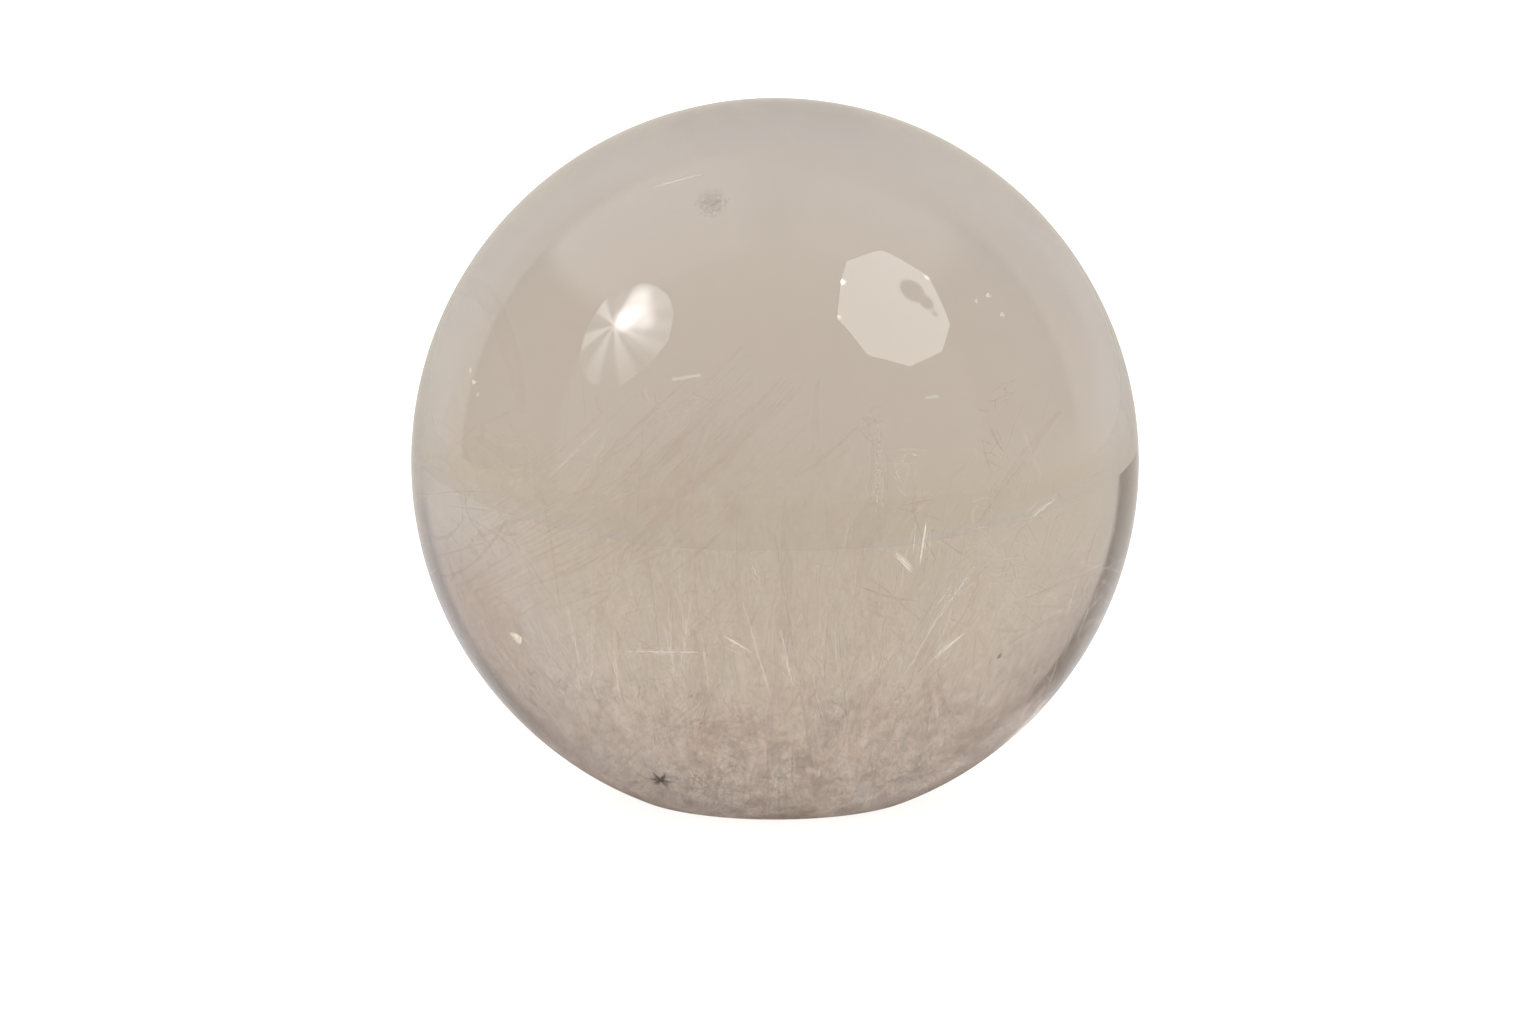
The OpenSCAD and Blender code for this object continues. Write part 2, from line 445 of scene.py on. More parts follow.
@dataclass(frozen=True)
class PaintedSheenFilmFinish:
    """A healed crack's film; its bands of near-white and pale rainbow colours are a painted iridescent glint,
    not the film's own colour.
    """

    name: str = "rainbow_film"
    band_size: float = 520.0
    opacity: float = 0.4
    metallic: float = 0.25
    roughness: Span = (0.12, 0.40)
    # Painted glint: these near-white, pale yellow and pale blue stops stand in for light reflected off the
    # crack.
    stops: tuple[tuple[float, Colour], ...] = (
        (0.28, (0.55, 0.80, 0.92)),
        (0.38, (0.88, 0.98, 0.98)),
        (0.47, (1.0, 1.0, 0.97)),
        (0.56, (1.0, 0.97, 0.80)),
        (0.66, (1.0, 0.86, 0.52)),
        (0.80, (0.92, 0.80, 0.90)),
    )

    def build(self) -> bpy.types.Material:
        """Makes the material.

        Returns:
            A shiny film with bands of painted glint colour.
        """
        film = {"Metallic": self.metallic, "Alpha": self.opacity}
        material, tree, shader, _ = blank_material(self.name, film)
        place = wire(tree, "TexCoord").outputs["Object"]
        bands = wire(tree, "TexNoise", {"Vector": place, "Scale": self.band_size, "Detail": 2.0})
        cloud = bands.outputs["Fac"]
        tree.links.new(ramped(tree, cloud, self.stops, "LINEAR"), shader["Base Color"])
        tree.links.new(ranged(tree, cloud, self.roughness), shader["Roughness"])
        return material


@dataclass(frozen=True)
class FluidFinish:
    """Tiny drops of trapped fluid, which together look like a grey breath of cloud."""

    name: str = "trapped_fluid"
    light: Colour = (0.50, 0.47, 0.45)
    dark: Colour = (0.30, 0.28, 0.27)
    cloud: float = 1500.0
    tone: float = 0.4
    clearness: Span = (0.02, 0.06)

    def build(self) -> bpy.types.Material:
        """Makes the material.

        Returns:
            A grey that shows through, more so in some drops than in others.
        """
        material, tree, shader, _ = blank_material(self.name, {})
        looks = {
            "Pale": (*self.light, 1), "Deep": (*self.dark, 1), "Cloud Size": self.cloud, "Tone": self.tone
        }
        grain = add_grain(tree, looks, shader)
        clear = ranged(tree, grain["Height"], self.clearness, (0.3, 0.7))
        tree.links.new(clear, shader["Alpha"])
        return material


def add_grain(
    tree: bpy.types.NodeTree, looks: dict[str, object], shader: bpy.types.NodeInputs
) -> bpy.types.NodeOutputs:
    """Places the crystals' shared effect in a material.

    Args:
        tree: The material's tree.
        looks: The effect's inputs.
        shader: The inputs of the material's shader.

    Returns:
        The effect's outputs.
    """
    grain = wire(tree, "Group", looks, node_tree=growth_grain())
    tree.links.new(grain.outputs["Color"], shader["Base Color"])
    tree.links.new(grain.outputs["Roughness"], shader["Roughness"])
    return grain.outputs


class Finishes:
    """All the finishes of the ball, each built once."""

    CRYSTALS = (
        CrystalFinish("pale_needle", (0.95, 0.97, 0.98), (0.84, 0.80, 0.76), 0.18, (0.03, 0.62)),
        CrystalFinish("bright_needle", (0.97, 0.98, 0.98), (0.92, 0.89, 0.84), 0.15, (0.04, 0.55)),
        CrystalFinish("spray_fibre", (0.98, 0.94, 0.92), (0.47, 0.33, 0.27), 0.25, (0.016, 0.30)),
        CrystalFinish("mat_fibre", (1.0, 0.90, 0.84), (0.38, 0.25, 0.20), 0.35, (0.022, 0.32)),
        CrystalFinish("dark_fibre", (0.50, 0.37, 0.29), (0.32, 0.22, 0.17), 0.3, (0.013, 0.065)),
        CrystalFinish("dark_crystal", (0.20, 0.145, 0.12), (0.06, 0.045, 0.04), 0.3, (0.2, 0.66)),
    )

    def __init__(self) -> None:
        """Builds the materials, under the names of the design's material slots."""
        self.by_slot: dict[str, bpy.types.Material] = {"quartz": QuartzFinish().build()}
        for finish in (*self.CRYSTALS, FluidFinish(), PaintedSheenFilmFinish()):
            self.by_slot[finish.name] = finish.build()

    def dress(self, piece: bpy.types.Object, slot: str, *nodes: str) -> None:
        """Gives a piece its finish and its place in the frame.

        Args:
            piece: A finished piece, in place.
            slot: The material slot of the design.
            nodes: The design's nodes that the piece stands for.
        """
        piece.data.materials.clear()
        piece.data.materials.append(self.by_slot[slot])
        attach(piece, "root")
        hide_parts(*nodes)
        LOG.info("%s: %d faces, finish %s", piece.name, len(piece.data.polygons), slot)


# ------------------------------------------------------------ needle stock


class Habit(Enum):
    """How a crystal has grown."""

    NEEDLE = "needle"
    HAIR = "hair"
    BOW = "bow"
    WAVE = "wave"
    SPIKE = "spike"
    LATH = "lath"
    TUFT = "tuft"

VEIL_HABITS = (Habit.NEEDLE, Habit.HAIR, Habit.NEEDLE)


@dataclass(frozen=True)
class HabitForm:
    """The outline of one habit, one long and one wide."""

    sides: int
    widths: tuple[float, ...]
    sway: tuple[float, ...]
    flatness: float = 1.0


def scatter(chance: random.Random, spread: float) -> Vector:
    """Draws a shift with the same spread to all sides."""
    return Vector([chance.gauss(0, spread) for _ in range(3)])


def any_turn(chance: random.Random) -> float:
    """Draws a crystal's turn about its own length, in radians."""
    return chance.uniform(0, 6)


def mark(mesh: bpy.types.Mesh, tone: float, body: float) -> None:
    """Writes a crystal's tone and body to its mesh, where its finish reads them."""
    for name, value in (("tone", tone), ("body", body)):
        layer = mesh.attributes.get(name)
        if layer is None:
            layer = mesh.attributes.new(name, "FLOAT", "POINT")
        layer.data.foreach_set("value", [value] * len(mesh.vertices))


class NeedleStock:
    """One model of each habit, from which all the crystals are copied."""

    FORMS: dict[Habit, HabitForm] = {
        Habit.NEEDLE: HabitForm(6, (0.30, 0.95, 1.0, 0.86, 0.18), (0, 0, 0, 0, 0)),
        Habit.HAIR: HabitForm(3, (0.45, 1.0, 0.85, 0.25), (0, 0.8, 0.6, 0)),
        Habit.BOW: HabitForm(3, (0.35, 0.9, 1.0, 0.9, 0.2), (0, 2.4, 3.3, 2.4, 0)),
        Habit.WAVE: HabitForm(3, (0.35, 0.9, 1.0, 1.0, 0.8, 0.2), (0, 2.2, 1.5, -1.2, -1.6, 0.6)),
        Habit.SPIKE: HabitForm(5, (1.0, 0.72, 0.40, 0.06), (0, 0.15, 0.1, 0)),
        Habit.LATH: HabitForm(
            6, (0.35, 0.8, 1.0, 0.92, 1.0, 0.75, 0.30), (0, 0, 0.05, 0.1, 0.05, 0, 0), 0.14
        ),
    }

    def __init__(self) -> None:
        """Models every habit."""
        self.models: dict[Habit, bpy.types.Object] = {h: self.model(h, f) for h, f in self.FORMS.items()}
        self.models[Habit.TUFT] = self.tuft()

    def tuft(self, hairs: int = 8, seed: int = 3) -> bpy.types.Object:
        """Models a loose tuft of a few hairs, one across.

        Args:
            hairs: How many hairs cross in it.
            seed: What its hairs' places are drawn from.

        Returns:
            The tuft, round a middle half its height up.
        """
        chance = random.Random(seed)
        parts = []
        for _ in range(hairs):
            middle = Vector((chance.gauss(0, 0.16), chance.gauss(0, 0.16), 0.5 + chance.gauss(0, 0.14)))
            way = scatter(chance, 1).normalized() * chance.uniform(0.2, 0.5)
            width = chance.uniform(0.022, 0.045)
            parts.append(self.grow(Habit.HAIR, middle - way, middle + way, width, 0.5, any_turn(chance)))
        return joined(parts, "stock_tuft")

    def model(self, habit: Habit, form: HabitForm) -> bpy.types.Object:
        """Models one habit from a prism: cut into rings, tapered and swayed ring by ring.

        Args:
            habit: The habit's name.
            form: Its outline.

        Returns:
            A crystal that stands on the origin, one long and one wide.
        """
        deselect()
        bpy.ops.mesh.primitive_cylinder_add(vertices=form.sides, radius=0.5, depth=1.0, location=(0, 0, 0.5))
        model = bpy.context.object
        model.name = f"stock_{habit.value}"
        apply_place(model)
        rings = len(form.widths)
        select_parts(model, "EDGE", lambda start, end: abs(start.z - end.z) > 0.5)
        bpy.ops.mesh.subdivide(number_cuts=rings - 2)
        for index, (wide, sway) in enumerate(zip(form.widths, form.sway)):
            level = index / (rings - 1)
            select_parts(model, "VERT", lambda place, level=level: abs(place.z - level) < 0.01)
            size = (wide, wide * form.flatness, 1.0)
            bpy.ops.transform.resize(value=size, center_override=(0, 0, level))
            bpy.ops.transform.translate(value=(sway, 0, 0))
        face_outwards()
        pick(model)
        bpy.ops.object.shade_smooth_by_angle(angle=CRYSTAL_CREASE)
        return model

    def grow(
        self,
        habit: Habit,
        start: Vector,
        end: Vector,
        width: float,
        tone: float,
        roll: float = 0.0,
        body: float = 1.0,
    ) -> bpy.types.Object:
        """Copies a habit's model between two places.

        Args:
            habit: How the crystal has grown.
            start: The place of its root.
            end: The place of its tip.
            width: Its width at its thickest.
            tone: 0 for the deep colour, 1 for the pale one.
            roll: Its turn about its own length, in radians.
            body: 0 for the clearest of its kind, 1 for the densest.

        Returns:
            The crystal, with its place in its own mesh.
        """
        mesh = self.models[habit].data.copy()
        run = end - start
        turn = run.to_track_quat("Z", "Y").to_matrix().to_4x4()
        grown = Matrix.Diagonal((width, width, run.length, 1.0))
        mesh.transform(Matrix.Translation(start) @ turn @ Matrix.Rotation(roll, 4, "Z") @ grown)
        mark(mesh, tone, body)
        return placed(habit.value, mesh)

    def clear(self) -> None:
        """Takes the models off the bench once all crystals are grown."""
        for model in self.models.values():
            bpy.data.objects.remove(model)


# ---------------------------------------------------------------- the stone


@dataclass
class QuartzBall:
    """The polished sphere with its ground flat."""

    ball: BallFrame
    finishes: Finishes
    segments: int = 256
    rings: int = 128
    bevel: float = 0.4 * MILLIMETRE
    crease: float = math.radians(4)

    def build(self) -> bpy.types.Object:
        """Turns the sphere, cuts its flat and bevels the rim.

        Returns:
            The ball, dressed.
        """
        deselect()
        bpy.ops.mesh.primitive_uv_sphere_add(
            segments=self.segments, ring_count=self.rings, radius=self.ball.radius, location=self.ball.middle
        )
        stone = bpy.context.object
        stone.name = stone.data.name = "polished_quartz_ball"
        apply_place(stone)
        pick(stone)
        bpy.ops.object.mode_set(mode="EDIT")
        bpy.ops.mesh.select_all(action="SELECT")
        bpy.ops.mesh.bisect(plane_co=(0, 0, 0), plane_no=(0, 0, 1), use_fill=True, clear_inner=True)
        deselect()
        select_parts(stone, "EDGE", lambda start, end: max(abs(start.z), abs(end.z)) < ON_THE_FLAT)
        bpy.ops.mesh.bevel(offset=self.bevel, segments=3, affect="EDGES", profile=0.5)
        bpy.ops.mesh.select_all(action="SELECT")
        bpy.ops.mesh.remove_doubles(threshold=1e-7)
        face_outwards()
        pick(stone)
        bpy.ops.object.shade_smooth_by_angle(angle=self.crease)
        self.finishes.dress(stone, "quartz", "quartz_ball")
        return stone


# --------------------------------------------------------------- inclusions


@dataclass
class Inclusions:
    """What all the groups of crystals in the ball need."""

    ball: BallFrame
    stock: NeedleStock
    finishes: Finishes
    crystals: list[bpy.types.Object] = field(default_factory=list, init=False)

    def grow(
        self,
        habit: Habit,
        start: Vector,
        end: Vector,
        width: float,
        tone: float,
        roll: float = 0.0,
        body: float = 1.0,
        depth: float | None = 0.0,
    ) -> None:
        """Adds one crystal to the group.

        Args:
            habit: How the crystal has grown.
            start: The place of its root.
            end: The place of its tip.
            width: Its width at its thickest.
            tone: 0 for the deep colour, 1 for the pale one.
            roll: Its turn about its own length, in radians.
            body: 0 for the clearest of its kind, 1 for the densest.
            depth: How much deeper in the stone its ends are kept; None leaves them where they are.
        """
        if depth is not None:
            start, end = self.ball.kept_in(start, depth), self.ball.kept_in(end, depth)
        self.crystals.append(self.stock.grow(habit, start, end, width, tone, roll, body))

    def finish(self, name: str, slot: str, node: str) -> bpy.types.Object:
        """Joins the group's crystals to one piece and dresses it.

        Args:
            name: The piece's name.
            slot: The design's material slot.
            node: The design's node that the piece stands for.

        Returns:
            The piece.
        """
        piece = joined(self.crystals, name)
        self.finishes.dress(piece, slot, node)
        return piece


@dataclass(frozen=True)
class NeedleLine:
    """Where one needle lies, and how much of the light it throws back."""

    start: Share
    end: Share
    body: float = 0.8


@dataclass
class LoneNeedles(Inclusions):
    """Single bright needles, each with a few thin splinters beside it."""

    name: str = ""
    node: str = ""
    slot: str = "pale_needle"
    lines: Sequence[NeedleLine] = ()
    width: float = 0.21 * MILLIMETRE
    splinters: int = 5
    spread: float = 0.42 * MILLIMETRE
    tone: float = 0.95
    seed: int = 1

    def build(self) -> bpy.types.Object:
        """Grows the needles and their splinters.

        Returns:
            The dressed group.
        """
        chance = random.Random(self.seed)
        for line in self.lines:
            root, tip = self.ball.place(line.start), self.ball.place(line.end)
            self.grow(Habit.NEEDLE, root, tip, self.width, self.tone, any_turn(chance), line.body, None)
            for _ in range(self.splinters):
                shift = scatter(chance, 1) * self.spread
                low = root.lerp(tip, chance.uniform(-0.1, 0.45)) + shift
                high = root.lerp(tip, chance.uniform(0.55, 1.1)) + shift * chance.uniform(0.6, 1.4)
                self.grow(
                    Habit.HAIR, low, high, self.width * chance.uniform(0.3, 0.6), chance.uniform(0.6, 1.0),
                    any_turn(chance), line.body * chance.uniform(0.1, 0.9),
                )
        return self.finish(self.name, self.slot, self.node)


@dataclass
class UprightSpray(Inclusions):
    """A quarter of the fan of fibres that rises from under the ball's middle."""

    name: str = ""
    node: str = ""
    first_angle: float = 0.0
    fibres: int = 380
    tufts: int = 170
    veils: int = 560
    depth: float = 1.5 * MILLIMETRE
    tallest: float = 0.42
    bright_below: float = 0.24
    bright_from: float = 0.95
    seed: int = 1

    FOCUS: Share = (0.0, 0.0, -1.30)
    FIBRES = (Habit.NEEDLE, Habit.HAIR, Habit.HAIR, Habit.BOW)

    def build(self) -> bpy.types.Object:
        """Grows the fan.

        Returns:
            The dressed group.
        """
        chance = random.Random(self.seed)
        self.grow_fibres(chance)
        self.grow_tufts(chance)
        self.grow_veil(chance)
        return self.finish(self.name, "spray_fibre", self.node)

    def ray(self, foot: Vector) -> Vector:
        """Gives the way that the fan spreads at a place."""
        return (foot - self.ball.place(self.FOCUS)).normalized()

    def side(self, chance: random.Random, widest: float) -> tuple[float, float]:
        """Draws a place in the quarter, as shares of the radius to the right and to the back."""
        angle = math.radians(self.first_angle + chance.uniform(0, 90))
        out = widest * math.sqrt(chance.random())
        return out * math.cos(angle), out * math.sin(angle)

    def grow_fibres(self, chance: random.Random) -> None:
        """Grows the fine fibres, a few of them bright.

        Args:
            chance: What their places are drawn from.
        """
        for _ in range(self.fibres):
            side = self.side(chance, 0.66)
            rise = min(abs(chance.gauss(0, 0.22)), self.tallest)
            foot = self.ball.place((*side, -0.60 + rise))
            lean = scatter(chance, 0.24)
            tip = foot + (self.ray(foot) + lean) * (self.ball.radius * max(0.03, chance.gauss(0.11, 0.06)))
            fine = chance.random()
            bright = fine > self.bright_from and rise < self.bright_below
            self.grow(
                Habit.NEEDLE if bright else chance.choice(self.FIBRES), foot, tip,
                (0.05 + 0.11 * fine**3) * MILLIMETRE, 1.0 if bright else chance.uniform(0.0, 1.0),
                any_turn(chance), 0.7 if bright else 0.6 * chance.random() ** 2,
            )

    def grow_tufts(self, chance: random.Random) -> None:
        """Grows small loose tufts between the fibres.

        Args:
            chance: What their places are drawn from.
        """
        for _ in range(self.tufts):
            foot = self.ball.place((*self.side(chance, 0.70), -0.56 + abs(chance.gauss(0, 0.20))))
            size = self.ball.radius * chance.uniform(0.05, 0.12)
            way = (self.ray(foot) + scatter(chance, 0.5)).normalized()
            foot = self.ball.kept_in(foot, size)
            self.grow(
                Habit.TUFT, foot, foot + way * size, size * 0.6, chance.random(), any_turn(chance),
                0.35 * chance.random(), None,
            )

    def grow_veil(self, chance: random.Random) -> None:
        """Grows broad, nearly clear fibres between the fine ones, thickest low down and on the left.

        Together they dim the stone like a mist.

        Args:
            chance: What their places are drawn from.
        """
        grown = 0
        while grown < self.veils:
            share = Vector((*self.side(chance, 0.74), -0.66 + abs(chance.gauss(0, 0.24))))
            if share.z > -0.12 - 0.35 * max(share.x, -0.3) or share.length > 0.9:
                continue
            foot = self.ball.place(share)
            way = (self.ray(foot) + scatter(chance, 0.30)).normalized()
            tip = foot + way * (self.ball.radius * chance.uniform(0.06, 0.20))
            self.grow(
                chance.choice(VEIL_HABITS), foot, tip, chance.uniform(0.5, 1.5) * MILLIMETRE,
                0.35 * chance.random(), any_turn(chance), 0.03 * chance.random(), self.depth,
            )
            grown += 1


@dataclass
class FibreMat(Inclusions):
    """One layer of the felt in the lower third of the ball."""

    name: str = ""
    node: str = ""
    level: float = -0.83
    thickness: float = 0.13
    angle: float = 0.0
    fibres: int = 300
    tufts: int = 420
    veils: int = 620
    depth: float = 1.5 * MILLIMETRE
    darkness: float = 0.0
    patch: float = 1.5 * MILLIMETRE
    widest: float = 0.93
    seed: int = 1

    FIBRES = (Habit.HAIR, Habit.BOW, Habit.BOW, Habit.WAVE)

    def spot(self, chance: random.Random) -> Vector:
        """Picks a place in the layer."""
        room = math.sqrt(max(self.widest**2 - self.level**2, 0.01))
        out, turn = room * math.sqrt(chance.random()), chance.uniform(0, math.tau)
        high = self.level + chance.uniform(-0.5, 0.5) * self.thickness
        return self.ball.place((out * math.cos(turn), out * math.sin(turn), high))

    def tone(self, place: Vector, chance: random.Random) -> float:
        """Gives pale patches among brown ones, so that the felt looks mottled."""
        cloud = noise.noise(place / self.patch) * 0.9 + noise.noise(place / self.patch / 3.1) * 0.35
        return min(1.0, max(0.0, 0.5 + cloud + chance.gauss(0, 0.12) - self.darkness))

    def build(self) -> bpy.types.Object:
        """Grows tufts all over the layer, broad clear fibres, and loose, nearly level hairs between them.

        Returns:
            The dressed group.
        """
        chance = random.Random(self.seed)
        for _ in range(self.tufts):
            size = self.ball.radius * chance.uniform(0.035, 0.085)
            place = self.ball.kept_in(self.spot(chance), size * 0.6)
            slope = Vector((chance.gauss(0, 1), chance.gauss(0, 1), chance.gauss(0, 0.7))).normalized() * size
            tone = self.tone(place, chance)
            self.grow(
                Habit.TUFT, place - slope / 2, place + slope / 2, size, tone, any_turn(chance),
                min(1.0, 0.9 * max(0.0, tone - 0.5) + 0.30 * chance.random()), None,
            )
        for _ in range(self.veils):
            place = self.spot(chance)
            way = scatter(chance, 1).normalized() * self.ball.radius * chance.uniform(0.02, 0.07)
            self.grow(
                chance.choice(VEIL_HABITS), place - way, place + way, chance.uniform(0.6, 2.0) * MILLIMETRE,
                0.4 * self.tone(place, chance), any_turn(chance), 0.04 * chance.random(), self.depth,
            )
        for _ in range(self.fibres):
            middle = self.spot(chance)
            long = self.ball.radius * chance.uniform(0.015, 0.055)
            lean, slope = math.radians(self.angle + chance.gauss(0, 55)), math.radians(chance.gauss(12, 26))
            level = math.cos(slope)
            along = Vector((math.cos(lean) * level, math.sin(lean) * level, math.sin(slope))) * long
            self.grow(
                chance.choice(self.FIBRES), middle - along, middle + along,
                chance.uniform(0.06, 0.14) * MILLIMETRE, self.tone(middle, chance), any_turn(chance),
                0.5 * chance.random(),
            )
        return self.finish(self.name, "mat_fibre", self.node)


@dataclass
class FibreBundle(Inclusions):
    """Fibres side by side along a line, staggered and slightly fanned."""

    name: str = ""
    node: str = ""
    slot: str = "dark_fibre"
    line: Line = ((0, 0, 0), (0, 0, 0.1))
    fibres: int = 20
    reach: float = 0.06
    share: Span = (0.25, 0.7)
    widths: Span = (0.07, 0.16)
    seed: int = 1

    def build(self) -> bpy.types.Object:
        """Grows the bundle.

        Returns:
            The dressed group.
        """
        chance = random.Random(self.seed)
        start, end = self.ball.place(self.line[0]), self.ball.place(self.line[1])
        for _ in range(self.fibres):
            shift = scatter(chance, 1) * self.reach * self.ball.radius
            long = chance.uniform(*self.share)
            first = chance.uniform(0.0, 1.0 - long)
            low = start.lerp(end, first) + shift
            high = start.lerp(end, first + long) + shift * chance.uniform(0.85, 1.25)
            self.grow(
                chance.choice((Habit.HAIR, Habit.NEEDLE)), low, high,
                chance.uniform(*self.widths) * MILLIMETRE, chance.random(), any_turn(chance),
                chance.random() ** 2,
            )
        return self.finish(self.name, self.slot, self.node)


@dataclass
class BroadBlade(Inclusions):
    """A wide, thin crystal with a grooved face, made of a few laths grown side by side."""

    middle: Share = (0.19, -0.08, 0.0)
    lean: float = math.radians(36.0)
    turn: float = math.radians(6.0)
    length: float = 14.0 * MILLIMETRE
    width: float = 1.6 * MILLIMETRE
    laths: int = 5
    seed: int = 7

    def build(self) -> bpy.types.Object:
        """Grows the laths.

        Returns:
            The dressed blade.
        """
        chance = random.Random(self.seed)
        tilt = Matrix.Rotation(self.turn, 4, "Y") @ Matrix.Rotation(self.lean, 4, "X")
        along, across = tilt @ Vector((0, 0, 1)), tilt @ Vector((1, 0, 0))
        middle = self.ball.place(self.middle)
        for index in range(self.laths):
            side = across * self.width * (index - self.laths // 2) / self.laths
            long = self.length * chance.uniform(0.36, 0.5)
            drift = along * self.length * chance.uniform(-0.06, 0.06)
            self.grow(
                Habit.LATH, middle + side + drift - along * long, middle + side * 0.7 + drift + along * long,
                self.width * chance.uniform(0.22, 0.40), chance.uniform(0.3, 0.9),
                math.radians(chance.uniform(-12, 12)), chance.uniform(0.1, 0.5), None,
            )
        return self.finish("broad_pale_blade", "bright_needle", "broad_blade")


@dataclass
class FluidPocket(Inclusions):
    """A pocket of fluid near the top of the ball, which has broken up into a cloud of tiny drops."""

    middle: Share = (-0.13, -0.09, 0.56)
    diameter: float = 2.6 * MILLIMETRE
    drops: int = 900
    seed: int = 61

    def build(self) -> bpy.types.Object:
        """Copies one drop all over the cloud, densest in its middle.

        Returns:
            The dressed cloud.
        """
        chance = random.Random(self.seed)
        deselect()
        bpy.ops.mesh.primitive_ico_sphere_add(subdivisions=1, radius=0.5)
        model = bpy.context.object
        select_parts(model, "VERT", lambda place: place.z > 0.1)
        bpy.ops.transform.resize(value=(0.8, 0.8, 1.15), center_override=(0, 0, 0))
        pick(model)
        bpy.ops.object.shade_smooth()
        middle = self.ball.place(self.middle)
        while len(self.crystals) < self.drops:
            out = scatter(chance, 0.34) * self.diameter
            if out.length > self.diameter * 0.74:
                continue
            mesh = model.data.copy()
            size = self.diameter * chance.uniform(0.05, 0.13)
            mesh.transform(Matrix.Translation(middle + out) @ Matrix.Diagonal((size, size, size, 1.0)))
            self.crystals.append(placed("drop", mesh))
        bpy.data.objects.remove(model)
        return self.finish("cloud_of_trapped_fluid", "trapped_fluid", "fluid_pocket")


@dataclass
class Films(Inclusions):
    """Thin healed cracks with a ragged outline."""

    name: str = ""
    node: str = ""
    middles: Sequence[Share] = ()
    tilts: Sequence[tuple[float, float, float]] = ()
    diameter: float = 1.8 * MILLIMETRE
    thickness: float = 0.12 * MILLIMETRE
    phase: float = 5
    sides: int = 28
    crease: float = math.radians(35)
    shape: Span = (0.88, 0.66)

    def build(self) -> bpy.types.Object:
        """Cuts one ragged disc for each crack.

        Returns:
            The dressed group.
        """
        for middle, tilt in zip(self.middles, self.tilts):
            deselect()
            bpy.ops.mesh.primitive_cylinder_add(
                vertices=self.sides, radius=self.diameter / 2, depth=self.thickness
            )
            film = bpy.context.object
            select_parts(film, "FACE", lambda normal: abs(normal.z) > 0.9)
            bpy.ops.mesh.inset(thickness=self.diameter * 0.16, depth=self.thickness * 0.12)
            bpy.ops.object.mode_set(mode="OBJECT")
            for vertex in film.data.vertices:
                place = vertex.co
                turn = math.atan2(place.y, place.x)
                ragged = 1 + 0.13 * math.sin(3 * turn + self.phase) + 0.08 * math.sin(7 * turn + 2)
                place.x *= ragged * self.shape[0]
                place.y *= ragged * self.shape[1]
                place.z += 0.05 * math.sin(2 * turn) * place.xy.length
            film.rotation_euler = [math.radians(angle) for angle in tilt]
            film.location = self.ball.place(middle)
            apply_place(film)
            bpy.ops.object.shade_smooth_by_angle(angle=self.crease)
            self.crystals.append(film)
        # The rainbow_film finish paints a glint onto these discs.
        return self.finish(self.name, "rainbow_film", self.node)


@dataclass
class DarkRosette(Inclusions):
    """A dark star of spikes that grow to all sides from one middle."""

    middle: Share = (-0.25, -0.22, -0.665)
    reach: float = 1.9 * MILLIMETRE
    thickness: float = 0.42 * MILLIMETRE
    arms: int = 6
    hairs: int = 46
    seed: int = 11

    def build(self) -> bpy.types.Object:
        """Grows the arms and the fuzz round them.

        Returns:
            The dressed rosette.
        """
        chance = random.Random(self.seed)
        middle = self.ball.place(self.middle)
        for index in range(self.arms):
            turn = math.tau * index / self.arms + chance.uniform(-0.25, 0.25)
            way = Vector((math.cos(turn), chance.uniform(-0.5, 0.5), math.sin(turn))).normalized()
            root, tip = middle - way * 0.15 * self.reach, middle + way * self.reach
            self.grow(Habit.SPIKE, root, tip, self.thickness, 0.3, depth=None)
            for _ in range(self.hairs // self.arms):
                lean = (way + scatter(chance, 0.28)).normalized()
                self.grow(
                    Habit.SPIKE, middle, middle + lean * self.reach * chance.uniform(0.45, 0.95),
                    chance.uniform(0.10, 0.22) * MILLIMETRE, chance.random(), depth=None,
                )
        return self.finish("dark_star", "dark_crystal", "dark_rosette")


@dataclass
class DarkGrain(Inclusions):
    """A small dark crystal with pointed ends."""

    middle: Share = (0.46, -0.19, -0.37)
    width: float = 0.46 * MILLIMETRE
    wear: float = 0.05 * MILLIMETRE
    lean: tuple[float, float, float] = (math.radians(30), math.radians(50), 0.0)
    tone: float = 0.6
    body: float = 0.35

    def build(self) -> bpy.types.Object:
        """Shapes the grain from a six-sided prism.

        Returns:
            The dressed grain.
        """
        deselect()
        bpy.ops.mesh.primitive_cylinder_add(vertices=6, radius=self.width / 2, depth=self.width * 0.9)
        grain = bpy.context.object
        point = self.width * 0.42
        for sign in (1, -1):
            select_parts(grain, "FACE", lambda normal, sign=sign: normal.z * sign > 0.9)
            bpy.ops.mesh.extrude_region_move(TRANSFORM_OT_translate={"value": (0, 0, sign * point)})
            end = (0, 0, sign * (self.width * 0.4 + point))
            bpy.ops.transform.resize(value=(0.18, 0.30, 1.0), center_override=end)
        face_outwards()
        grain.rotation_euler = self.lean
        grain.location = self.ball.place(self.middle)
        apply_place(grain)
        bevel = grain.modifiers.new("worn_edges", "BEVEL")
        bevel.width = self.wear
        bevel.segments = 2
        bpy.ops.object.modifier_apply(modifier=bevel.name)
        mark(grain.data, self.tone, self.body)
        self.crystals.append(grain)
        return self.finish("dark_pointed_grain", "dark_crystal", "dark_grain")


# -------------------------------------------------------------------- studio


@dataclass
class Lamp:
    """A flat lamp head that faces the ball, with its own outline and pattern of light."""

    name: str
    right: float
    up: float
    near: float
    outline: Sequence[tuple[float, float]]
    colour: Colour
    strength: float
    spots: Sequence[tuple[float, float, float, float, float]] = ()
    hub: tuple[float, float] = (0.0, 0.0)
    rays: Sequence[tuple[float, float]] = ()
    fade: Span = (1.0, 1.0)
    fade_end: float = 0.32
    distance: float = 1.0


